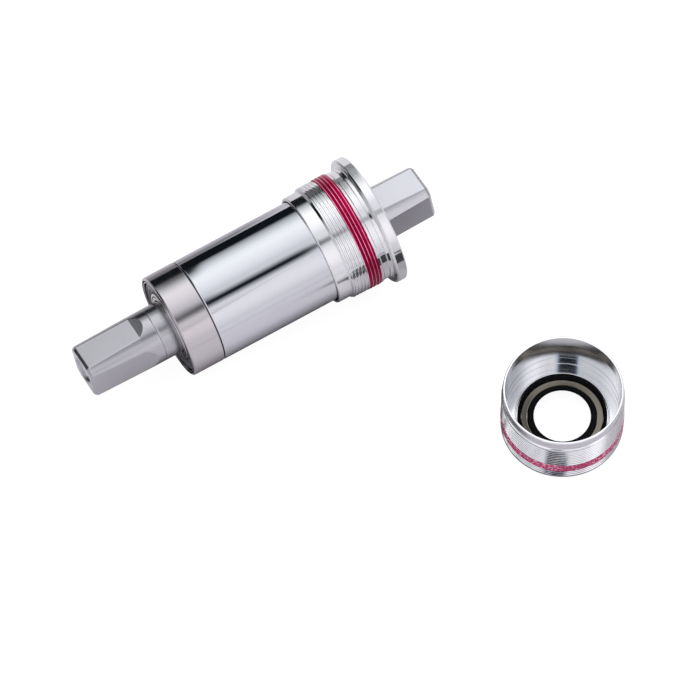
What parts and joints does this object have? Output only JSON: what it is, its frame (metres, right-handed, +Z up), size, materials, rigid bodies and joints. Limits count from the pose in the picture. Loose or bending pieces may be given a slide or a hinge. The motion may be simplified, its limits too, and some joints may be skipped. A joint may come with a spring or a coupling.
{
  "type": "bottom bracket",
  "caption": "Square-taper cartridge bottom bracket lying on its side: spindle in sealed bearings, polished sleeve, flanged threaded drive-side cup, and a loose threaded left cup beside it.",
  "frame": {"origin": "middle of the footprint of the whole arrangement, on the surface it lies on", "axes": "+X along the cartridge's spindle in plan, towards the drive side; +Y across it, away from the loose cup; +Z up. The spindle axis itself falls 3.6 degrees towards the left end, because the flange is larger than the bearing ring."},
  "size_m": [0.1308, 0.1116, 0.0391],
  "materials": {
    "spindle_steel": "matte, fine ground",
    "polished_sleeve": "mirror polished, slightly blue",
    "bearing_steel": "satin ground, warm grey",
    "ball_steel": "polished",
    "cage_nylon": "matt",
    "bearing_seal": "satin",
    "plated_cup": "bright plated over turned steel",
    "thread_lock": "glossy coating over the threads",
    "seal_rubber": "satin black",
    "seal_case": "olive gold, satin"
  },
  "bodies": {
    "cartridge": {"cartridge_sleeve": "polished_sleeve", "left_bearing_outer_race": "bearing_steel", "right_bearing_outer_race": "bearing_steel", "left_bearing_outboard_seal": "bearing_seal", "left_bearing_inboard_seal": "bearing_seal", "right_bearing_outboard_seal": "bearing_seal", "right_bearing_inboard_seal": "bearing_seal", "drive_cup": "plated_cup", "drive_cup_thread_lock_band": "thread_lock", "drive_cup_seal_rubber": "seal_rubber", "drive_cup_seal_case": "seal_case", "drive_cup_seal_lip": "seal_rubber"},
    "spindle": {"spindle": "spindle_steel", "left_bearing_inner_race": "bearing_steel", "right_bearing_inner_race": "bearing_steel"},
    "left_ball_set": {"left_bearing_cage": "cage_nylon", "left_bearing_ball_1": "ball_steel", "left_bearing_ball_2": "ball_steel", "left_bearing_ball_3": "ball_steel", "left_bearing_ball_4": "ball_steel", "left_bearing_ball_5": "ball_steel", "left_bearing_ball_6": "ball_steel", "left_bearing_ball_7": "ball_steel", "left_bearing_ball_8": "ball_steel", "left_bearing_ball_9": "ball_steel"},
    "right_ball_set": {"right_bearing_cage": "cage_nylon", "right_bearing_ball_1": "ball_steel", "right_bearing_ball_2": "ball_steel", "right_bearing_ball_3": "ball_steel", "right_bearing_ball_4": "ball_steel", "right_bearing_ball_5": "ball_steel", "right_bearing_ball_6": "ball_steel", "right_bearing_ball_7": "ball_steel", "right_bearing_ball_8": "ball_steel", "right_bearing_ball_9": "ball_steel"},
    "left_cup": {"left_cup": "plated_cup", "left_cup_thread_lock_band": "thread_lock", "left_cup_seal_rubber": "seal_rubber", "left_cup_seal_case": "seal_case", "left_cup_seal_lip": "seal_rubber"}
  },
  "joints": [
    {"name": "spindle_spin", "type": "hinge", "parent": "cartridge", "child": "spindle", "pos_m": [-0.00404, 0.0363, 0.01756], "axis": [0.998, 0, 0.0627], "continuous": true},
    {"name": "left_ball_set_orbit", "type": "hinge", "parent": "cartridge", "child": "left_ball_set", "pos_m": [-0.00404, 0.0363, 0.01756], "axis": [0.998, 0, 0.0627], "continuous": true},
    {"name": "right_ball_set_orbit", "type": "hinge", "parent": "cartridge", "child": "right_ball_set", "pos_m": [-0.00404, 0.0363, 0.01756], "axis": [0.998, 0, 0.0627], "continuous": true},
    {"name": "left_cup_lift", "type": "slide", "parent": "cartridge", "child": "left_cup", "axis": [0, 0, 1], "range_m": [0, 0.05]}
  ],
  "couplings": [
    {"joint": "left_ball_set_orbit", "follows": "spindle_spin", "ratio": 0.41593},
    {"joint": "right_ball_set_orbit", "follows": "spindle_spin", "ratio": 0.41593}
  ]
}
